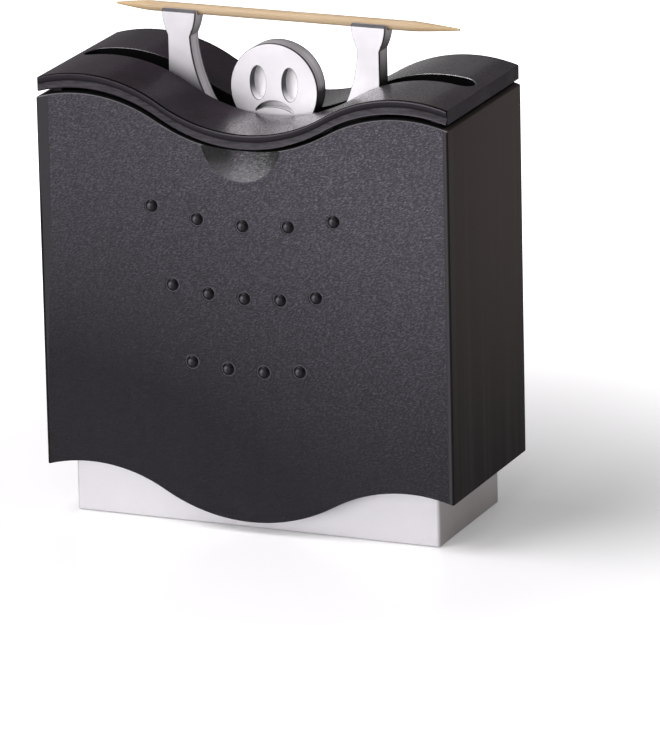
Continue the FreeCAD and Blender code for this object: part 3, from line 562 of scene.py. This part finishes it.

# Weightlifter: satin plate with a bright front and grey sawn sides, with painted light and shade over both
# and painted shade on the walls of the eyes and mouth

figureLook = {
    "low": colour(0.80, 0.785, 0.81),       # front and back, at the eyes, painted lighter
    "high": colour(0.69, 0.67, 0.70),       # and at the hands, painted darker
    "nearLid": colour(0.25, 0.24, 0.26),    # painted shade above the lid, on the left
    "patch": colour(0.96, 0.96, 0.96),      # uneven sheen over them
    "left": colour(0.90, 0.90, 0.90),       # painted shade, darker towards the left
    "edge": colour(0.45, 0.44, 0.46),       # painted shade along their outlines
    "side": colour(0.98, 0.94, 0.98),       # sawn sides of the left arm and the head
    "sideBelow": colour(0.12, 0.115, 0.12),  # painted shade low on the head's right
    "armHigh": colour(0.90, 0.87, 0.89),    # painted light on the side of the right arm, at the wrist
    "armLow": colour(0.03, 0.03, 0.03),     # and painted shade at the lid
    "sideLines": colour(0.74, 0.73, 0.74),  # lines along the cut
    "underside": colour(0.22, 0.20, 0.19),  # painted shade on sides that face the table
    "sideUp": colour(0.24, 0.235, 0.245),   # and on those that face the sky
    "line": colour(0.030, 0.028, 0.032),    # painted shade beside the outlines
    "wall": colour(0.050, 0.047, 0.052),    # painted shade on the sides of the eyes and the mouth
    "lip": colour(0.95, 0.94, 0.96),        # painted light, where they face the sky or the left
    "floor": colour(0.95, 0.94, 0.96),      # their flat bottoms, painted bright as light
    "hidden": colour(0.006, 0.006, 0.006),  # painted shade, black where the lid hides it
    "faceTurn": (0.86, 0.98),           # cosines to the front or back
    "roundTurn": (0.10, 0.35),          # the same, for the rounding beside the outlines
    "underTurn": (-0.05, 0.45),         # downwards
    "upTurn": (0.60, 0.95),
    "upShare": 0.7,                     # of the tone of sides that face the sky
    "lipUp": (0.05, 0.60),              # upwards, in the eyes and the mouth
    "lipLeft": (0.0, 0.5),
    "cloud": (5.0, 5.0, 5.0),           # mm
    "cutCells": (60.0, 0.45, 60.0),
    "brushCells": (0.25, 60.0, 6.0),
    "brushDepth": 0.008,
    # width and strength of the mask for the painted shade along the outlines
    "paintedLight": {"Width": 0.0003, "Strength": 3.0},
    "headDrop": 13.0,                   # mm from the hands' tops to the head's centre
    "headReach": 8.5,                   # mm round that
    "headDimmed": 0.28,                 # share of the painted shade above the lid that the head gets
    "faceRadius": 7.0,                  # mm round the centre that holds the eyes and the mouth
    "sunkFront": (0.1, 0.2),            # mm behind the front where they begin
    "sunkBack": (0.5, 1.0),             # mm before the back where they end
    "lidThickness": 2.6,                # mm
    "lidCrest": 30.0,                   # mm from the middle
    "dimReach": (0.0, -14.0),           # mm across, from no painted shade to full painted shade above the lid
    "dimDepth": (-3.5, 0.8),            # mm under the lid's top, the same
    "hiddenDepth": (2.6, 3.1),
    "toneReach": (-1.0, 7.0),           # mm above the head's centre, from the low tone to the high one
    "leftReach": (2.0, -14.0),          # mm across, from none to full painted shade towards the left
    "belowAcross": (2.0, 8.0),          # mm across and up, from the sides' tone to the painted shade
    "belowUp": (1.3, -0.3),
    "armAcross": (11.0, 12.0),          # mm across to the right arm
    "armUp": (2.0, 8.5),                # mm above the head's centre, from the arm's low tone to its high one
    "besideWidth": (0.50, 0.40),        # mm of painted shade as a dark line on the sides, with and without its soft edge
    "soft": 0.1,                        # mm over which an edge between two tones fades
    "metal": 0.25,                      # of the front and the back
    "roughness": (0.34, 0.46),
    "shader": {"Specular IOR Level": 0.4},
}


def finishFigure(look):
    material, tree, shader = newFinish("satin nickel plate", look["low"], look["shader"])
    face = facing(tree, "back", look["faceTurn"], both=1.0)
    turning = facing(tree, "back", look["roundTurn"], both=1.0)
    cloud = mottled(tree, look["cloud"])
    low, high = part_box("lifter_figure")
    point = objectPoint(tree)
    fromHead = vectorCalc(tree, "SUBTRACT", point, (0.0, 0.0, high.z - look["headDrop"] * mm))
    place = split(tree, fromHead)
    away = vectorCalc(tree, "LENGTH", vectorCalc(tree, "MULTIPLY", fromHead, (1.0, 0.0, 1.0)))
    soft = look["soft"] * mm

    faceRadius = look["faceRadius"] * mm
    nearFace = fade(tree, away, faceRadius + soft, faceRadius)
    sunkFront = fade(tree, place[1], *(low.y + depth for depth in metres(look["sunkFront"])))
    sunkBack = fade(tree, place[1], *(high.y - depth for depth in metres(look["sunkBack"])))
    recess = product(tree, nearFace, product(tree, sunkFront, sunkBack))
    besideFront = fade(tree, place[1], *(low.y + depth for depth in metres(look["besideWidth"])))
    besideBack = fade(tree, place[1], *(high.y - depth for depth in metres(look["besideWidth"])))
    beside = calc(tree, "MAXIMUM", besideFront, besideBack)

    lidLow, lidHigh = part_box("lid")
    lidTop = fade(tree, calc(tree, "ABSOLUTE", place[0]), 0.0, look["lidCrest"] * mm,
                  lidLow.z + look["lidThickness"] * mm, lidHigh.z)
    underLid = calc(tree, "SUBTRACT", lidTop, split(tree, point)[2])
    # painted shade above the lid, on the left and partly over the head
    headReach = look["headReach"] * mm
    onHead = fade(tree, away, headReach + soft, headReach, 0.0, look["headDimmed"])
    dimmed = calc(tree, "MAXIMUM", onHead, fade(tree, place[0], *metres(look["dimReach"])))
    nearLid = product(tree, fade(tree, underLid, *metres(look["dimDepth"])), dimmed)

    # painted light and shade: lighter low on the face, darker up at the hands
    aboveEyes = fade(tree, place[2], *metres(look["toneReach"]))
    faceTone = blendColours(tree, aboveEyes, look["low"], look["high"])
    faceTone = blendColours(tree, nearLid, faceTone, look["nearLid"], "MULTIPLY")
    faceTone = blendColours(tree, cloud, faceTone, look["patch"], "MULTIPLY")
    # painted shade towards the left
    towardsLeft = fade(tree, place[0], *metres(look["leftReach"]))
    faceTone = blendColours(tree, towardsLeft, faceTone, look["left"], "MULTIPLY")
    # painted shade along the outlines
    faceTone = blendColours(tree, useGroup(tree, edgeMask, **look["paintedLight"]), faceTone, look["edge"])
    # painted light on the flat bottoms of the eyes and the mouth
    faceTone = blendColours(tree, recess, faceTone, look["floor"])

    # painted shade low on the head's right
    below = product(tree, fade(tree, place[0], *metres(look["belowAcross"])),
                    fade(tree, place[2], *metres(look["belowUp"])))
    sideTone = blendColours(tree, below, look["side"], look["sideBelow"], "MULTIPLY")
    # painted light and shade on the right arm's side, light at the wrist, dark at the lid
    upArm = fade(tree, place[2], *metres(look["armUp"]))
    armTone = blendColours(tree, upArm, look["armLow"], look["armHigh"])
    sideTone = blendColours(tree, fade(tree, place[0], *metres(look["armAcross"])), sideTone, armTone)
    sideTone = blendColours(tree, mottled(tree, look["cutCells"]), sideTone, look["sideLines"], "MULTIPLY")
    # painted shade on sides that face down and on sides that face up
    downward = facing(tree, "down", look["underTurn"])
    sideTone = blendColours(tree, downward, sideTone, look["underside"], "MULTIPLY")
    upward = product(tree, facing(tree, "up", look["upTurn"]), look["upShare"])
    sideTone = blendColours(tree, upward, sideTone, look["sideUp"])
    # painted shade beside the outlines
    sideTone = blendColours(tree, calc(tree, "MAXIMUM", turning, beside), sideTone, look["line"])
    # painted shade on the walls of the eyes and the mouth, painted light where they face the sky or the left
    lip = calc(tree, "MAXIMUM", facing(tree, "up", look["lipUp"]), facing(tree, "left", look["lipLeft"]))
    sideTone = blendColours(tree, recess, sideTone, blendColours(tree, lip, look["wall"], look["lip"]))

    tone = blendColours(tree, face, sideTone, faceTone)
    # painted shade, black where the lid hides the plate
    hidden = fade(tree, underLid, *metres(look["hiddenDepth"]))
    wire(tree, shader.inputs["Base Color"], blendColours(tree, hidden, tone, look["hidden"]))
    bare = calc(tree, "SUBTRACT", 1.0, calc(tree, "MAXIMUM", recess, hidden))
    wire(tree, shader.inputs["Metallic"], product(tree, face, bare, look["metal"]))
    wire(tree, shader.inputs["Roughness"], between(tree, cloud, *look["roughness"]))
    addBump(tree, shader, mottled(tree, look["brushCells"]), look["brushDepth"])
    return material


dress(finishFigure(figureLook), "lifter_figure")
print("weightlifter dressed")

# Base: silver lacquer

baseLook = {
    "light": colour(0.600, 0.590, 0.610),
    "dark": colour(0.560, 0.550, 0.570),
    "end": colour(0.93, 0.88, 0.84),    # warmer on the two ends
    "endTurn": (0.60, 0.80),            # cosines to either end
    "flake": (0.12, 0.12, 0.12),        # mm
    "flakeDepth": 0.004,
    "cloud": (16.0, 16.0, 16.0),
    "roughness": (0.34, 0.44),
    "shader": {"Metallic": 0.6, "Specular IOR Level": 0.5},
}


def finishLacquer(look):
    material, tree, shader = newFinish("silver lacquer", look["light"], look["shader"])
    flake = mottled(tree, look["flake"])
    cloud = mottled(tree, look["cloud"])
    share = product(tree, calc(tree, "ADD", flake, cloud), 0.5)
    tone = blendColours(tree, share, look["light"], look["dark"])
    end = facing(tree, "right", look["endTurn"], both=1.0)
    wire(tree, shader.inputs["Base Color"], blendColours(tree, end, tone, look["end"], "MULTIPLY"))
    wire(tree, shader.inputs["Roughness"], between(tree, cloud, *look["roughness"]))
    addBump(tree, shader, flake, look["flakeDepth"])
    return material


dress(finishLacquer(baseLook), "base_shell")
print("base dressed")

# Parts inside: one recipe, with each finish's own values, its cells and depth in mm

innerLooks = {
    "trayPlastic": {"dark": colour(0.030, 0.030, 0.032), "light": colour(0.045, 0.045, 0.047), "metal": 0.0,
                    "roughness": (0.45, 0.60), "cells": (3.0, 3.0, 3.0), "depth": 0.01},
    "coverPlastic": {"dark": colour(0.035, 0.035, 0.037), "light": colour(0.055, 0.055, 0.058), "metal": 0.0,
                     "roughness": (0.50, 0.65), "cells": (2.0, 2.0, 2.0), "depth": 0.02},
    "steelSheet": {"dark": colour(0.42, 0.43, 0.44), "light": colour(0.60, 0.60, 0.61), "metal": 1.0,
                   "roughness": (0.28, 0.45), "cells": (8.0, 1.0, 1.0), "depth": 0.005},
    "screwSteel": {"dark": colour(0.30, 0.30, 0.31), "light": colour(0.52, 0.51, 0.50), "metal": 1.0,
                   "roughness": (0.25, 0.40), "cells": (1.0, 1.0, 0.5), "depth": 0.005},
    "turnedBrass": {"dark": colour(0.45, 0.30, 0.11), "light": colour(0.68, 0.48, 0.20), "metal": 1.0,
                    "roughness": (0.22, 0.36), "cells": (6.0, 6.0, 0.3), "depth": 0.005},
    "rubber": {"dark": colour(0.018, 0.018, 0.018), "light": colour(0.035, 0.034, 0.034), "metal": 0.0,
               "roughness": (0.75, 0.92), "cells": (0.6, 0.6, 0.6), "depth": 0.03},
    "castIron": {"dark": colour(0.060, 0.058, 0.056), "light": colour(0.14, 0.13, 0.125), "metal": 0.9,
                 "roughness": (0.55, 0.75), "cells": (0.8, 0.8, 0.8), "depth": 0.06},
}
innerParts = {
    "trayPlastic": ["hopper_tray"],
    "coverPlastic": ["base_cover"],
    "steelSheet": ["figure_bracket_front", "figure_bracket_back", "guide_post_left", "guide_post_right",
                   "stop_washers"],
    "screwSteel": ["base_cover_screws", "ballast_screws", "bracket_screws", "clamp_screws", "clamp_nuts",
                   "tray_screws", "post_top_screws", "stop_screws"],
    "turnedBrass": ["guide_bush_left", "guide_bush_right"],
    "rubber": ["bump_rings", "anti_slip_pad"],
    "castIron": ["ballast_block"],
}
# the inner parts lighter along their edges
innerEdges = {"Width": 0.0003, "Strength": 2.0}


def finishInner(name, look):
    material, tree, shader = newFinish(name, look["light"], {"Metallic": look["metal"]})
    patch = mottled(tree, look["cells"])
    share = calc(tree, "ADD", patch, useGroup(tree, edgeMask, **innerEdges), clamp=True)
    wire(tree, shader.inputs["Base Color"], blendColours(tree, share, look["dark"], look["light"]))
    wire(tree, shader.inputs["Roughness"], between(tree, patch, *look["roughness"]))
    addBump(tree, shader, patch, look["depth"])
    return material


for name, look in innerLooks.items():
    dress(finishInner(name, look), *innerParts[name])
print("inner parts dressed")

# Toothpick: split birch, turned to two points, laid in the grooves of the hands

toothpickShape = {
    "leftPoint": 6.6,                   # mm of taper
    "rightPoint": 8.8,
    "tip": 0.2,                         # radius of the blunt tips
    "pointPower": 1.25,                 # 1 is a straight cone, 2 a bullet
    "rings": 150,
    "crowding": 0.6,                    # of the rings towards the tips, 0 is evenly spaced
    "sides": 28,
    "waver": 0.012,                     # mm of unevenness
    "waveAlong": 0.12,                  # of its noise, in cells per mm
    "waveRound": 1.5,                   # and in cells per radius
}
toothpickLook = {
    "pale": colour(0.53, 0.40, 0.25),
    "grain": colour(0.38, 0.25, 0.14),
    "ends": colour(0.52, 0.37, 0.19),
    "endShare": 0.8,
    "endReach": (10.0, 12.0),           # mm from the left tip and from the right one
    "fibre": (30.0, 0.22, 0.22),        # mm
    "fibreDepth": 0.03,
    "cloud": (9.0, 1.0, 1.0),
    "cloudMost": 0.6,
    "roughness": (0.50, 0.70),
    "shader": {"Specular IOR Level": 0.3},
}


def toothpickRadius(along, length, full, shape):
    radius = full
    for reach, taper in ((along, shape["leftPoint"]), (length - along, shape["rightPoint"])):
        if reach < taper:
            share = 1.0 - reach / taper
            radius = full - (full - shape["tip"]) * share ** shape["pointPower"]
    return radius


def makeToothpick(shape):
    low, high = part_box("toothpick")
    middle = (low + high) / 2 / mm
    length = (high.x - low.x) / mm
    full = (high.z - low.z) / 2 / mm
    mesh = bpy.data.meshes.new("toothpick_birch")
    build = bmesh.new()
    rings = []
    for ring in range(shape["rings"] + 1):
        share = ring / shape["rings"]
        along = length * (share - math.sin(2 * math.pi * share) / (2 * math.pi) * shape["crowding"])
        radius = toothpickRadius(along, length, full, shape)
        points = []
        for side in range(shape["sides"]):
            angle = 2 * math.pi * side / shape["sides"]
            outY, outZ = math.cos(angle), math.sin(angle)
            uneven = noise.noise(Vector((along * shape["waveAlong"], outY * shape["waveRound"],
                                         outZ * shape["waveRound"])))
            reach = radius - shape["waver"] * (1.0 + uneven)
            points.append(build.verts.new(Vector((low.x / mm + along, middle.y + reach * outY,
                                                  middle.z + reach * outZ)) * mm))
        rings.append(points)
    for first, second in zip(rings, rings[1:]):
        for side in range(shape["sides"]):
            following = (side + 1) % shape["sides"]
            build.faces.new((first[side], second[side], second[following], first[following]))
    build.faces.new(rings[0])
    build.faces.new(rings[-1][::-1])
    bmesh.ops.recalc_face_normals(build, faces=build.faces)
    for face in build.faces:
        face.smooth = len(face.verts) == 4
    build.to_mesh(mesh)
    build.free()
    toothpick = bpy.data.objects.new("toothpick_birch", mesh)
    scene.collection.objects.link(toothpick)
    return toothpick


def finishBirch(look):
    material, tree, shader = newFinish("split birch", look["pale"], look["shader"])
    fibre = mottled(tree, look["fibre"])
    cloud = mottled(tree, look["cloud"], look["cloudMost"])
    along = split(tree, objectPoint(tree))[0]
    low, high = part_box("toothpick")
    leftReach, rightReach = metres(look["endReach"])
    ends = calc(tree, "MAXIMUM", fade(tree, along, low.x + leftReach, low.x),
                fade(tree, along, high.x - rightReach, high.x))
    tone = blendColours(tree, product(tree, fibre, cloud), look["pale"], look["grain"])
    tone = blendColours(tree, product(tree, ends, look["endShare"]), tone, look["ends"])
    wire(tree, shader.inputs["Base Color"], tone)
    wire(tree, shader.inputs["Roughness"], between(tree, fibre, *look["roughness"]))
    addBump(tree, shader, fibre, look["fibreDepth"])
    return material


toothpick = makeToothpick(toothpickShape)
toothpick.data.materials.append(finishBirch(toothpickLook))
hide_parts("toothpick")
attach(toothpick, "toothpick")
print("toothpick made")

# Studio: white floor, soft lamps and a room that is bright in front and dim behind

studio = {
    "floorRadius": 0.55,
    "floorSides": 96,
    "floorColour": colour(0.92, 0.92, 0.92),
    "floorShader": {"Roughness": 0.35, "Specular IOR Level": 0.2},
    "floorGlow": (0.20, 1.00),          # for the camera, beside the object and far off
    "floorSheen": 0.08,                 # for reflections
    "glowReach": (0.06, 0.18),          # m from the object
    "ambient": 0.25,
    "roomFront": 0.48,
    "roomBack": 0.18,
    "roomAxis": (-0.45, -0.85, 0.25),   # towards the bright side
    "roomReach": (-0.4, 0.6),           # along that, where the room is dim and where it is bright
    "horizon": 0.50,                    # behind, down at the floor
    "horizonReach": (0.24, 0.02),       # sine of the height where that starts and is full
    "horizonBack": (-0.2, -0.6),        # and the same along the axis
    "tint": (1.0, 0.98, 1.0),           # of the lamps
    "aim": (0.0, 0.0, 0.04),
    "lamps": [
        {"name": "key", "place": (-0.50, -0.35, 1.00), "size": 0.90, "power": 10.0},
        {"name": "front", "place": (-0.68, -1.08, 0.20), "size": 0.85, "power": 10.5},
        {"name": "near", "place": (0.10, -0.45, 0.40), "size": 0.30, "power": 0.40},
    ],
}


def seenDirectly(tree):
    # 1 for what the camera, a reflection or a clear piece sees, 0 for light on its way to a surface
    path = addNode(tree, "ShaderNodeLightPath").outputs
    share = calc(tree, "MAXIMUM", path["Is Camera Ray"], path["Is Glossy Ray"])
    return calc(tree, "MAXIMUM", share, path["Is Transmission Ray"]), path["Is Camera Ray"]


def makeFloor(settings):
    mesh = bpy.data.meshes.new("floor")
    build = bmesh.new()
    bmesh.ops.create_circle(build, cap_ends=True, segments=settings["floorSides"],
                            radius=settings["floorRadius"])
    build.to_mesh(mesh)
    build.free()
    floor = bpy.data.objects.new("floor", mesh)
    scene.collection.objects.link(floor)
    material, tree, shader = newFinish("white floor", settings["floorColour"], settings["floorShader"])
    seen, camera = seenDirectly(tree)
    away = vectorCalc(tree, "LENGTH", objectPoint(tree))
    reach = product(tree, camera, fade(tree, away, *settings["glowReach"], *settings["floorGlow"]))
    sheen = product(tree, seen, settings["floorSheen"])
    glow = addNode(tree, "ShaderNodeEmission", {"Strength": calc(tree, "MAXIMUM", reach, sheen)})
    both = addNode(tree, "ShaderNodeAddShader", {0: shader.outputs[0], 1: glow.outputs[0]})
    wire(tree, tree.nodes["Material Output"].inputs["Surface"], both.outputs[0])
    mesh.materials.append(material)


def makeRoom(settings):
    world = bpy.data.worlds.new("room")
    scene.world = world
    world.use_nodes = True
    tree = world.node_tree
    ambient = tree.nodes["Background"]
    ambient.inputs["Color"].default_value = colour(*settings["tint"])
    ambient.inputs["Strength"].default_value = settings["ambient"]
    seen, camera = seenDirectly(tree)
    towards = addNode(tree, "ShaderNodeTexCoord").outputs["Generated"]
    lean = vectorCalc(tree, "DOT_PRODUCT", towards, settings["roomAxis"])
    wall = fade(tree, lean, *settings["roomReach"], settings["roomBack"], settings["roomFront"])
    low = fade(tree, split(tree, towards)[2], *settings["horizonReach"], 0.0, settings["horizon"])
    horizon = product(tree, low, fade(tree, lean, *settings["horizonBack"]))
    level = calc(tree, "MAXIMUM", calc(tree, "MAXIMUM", wall, horizon), camera)
    backdrop = addNode(tree, "ShaderNodeBackground", {"Color": colour(1.0, 1.0, 1.0), "Strength": level})
    both = addNode(tree, "ShaderNodeMixShader", {0: seen, 1: ambient.outputs[0], 2: backdrop.outputs[0]})
    wire(tree, tree.nodes["World Output"].inputs["Surface"], both.outputs[0])


def makeLamp(settings, name, place, size, power):
    data = bpy.data.lights.new(name, "AREA")
    data.shape = "DISK"
    data.size = size
    data.energy = power
    data.color = settings["tint"]
    lamp = bpy.data.objects.new(name, data)
    scene.collection.objects.link(lamp)
    lamp.location = place
    aim = Vector(settings["aim"]) - Vector(place)
    lamp.rotation_euler = aim.to_track_quat("-Z", "Y").to_euler()


makeFloor(studio)
makeRoom(studio)
for lamp in studio["lamps"]:
    makeLamp(studio, **lamp)
print("studio ready")
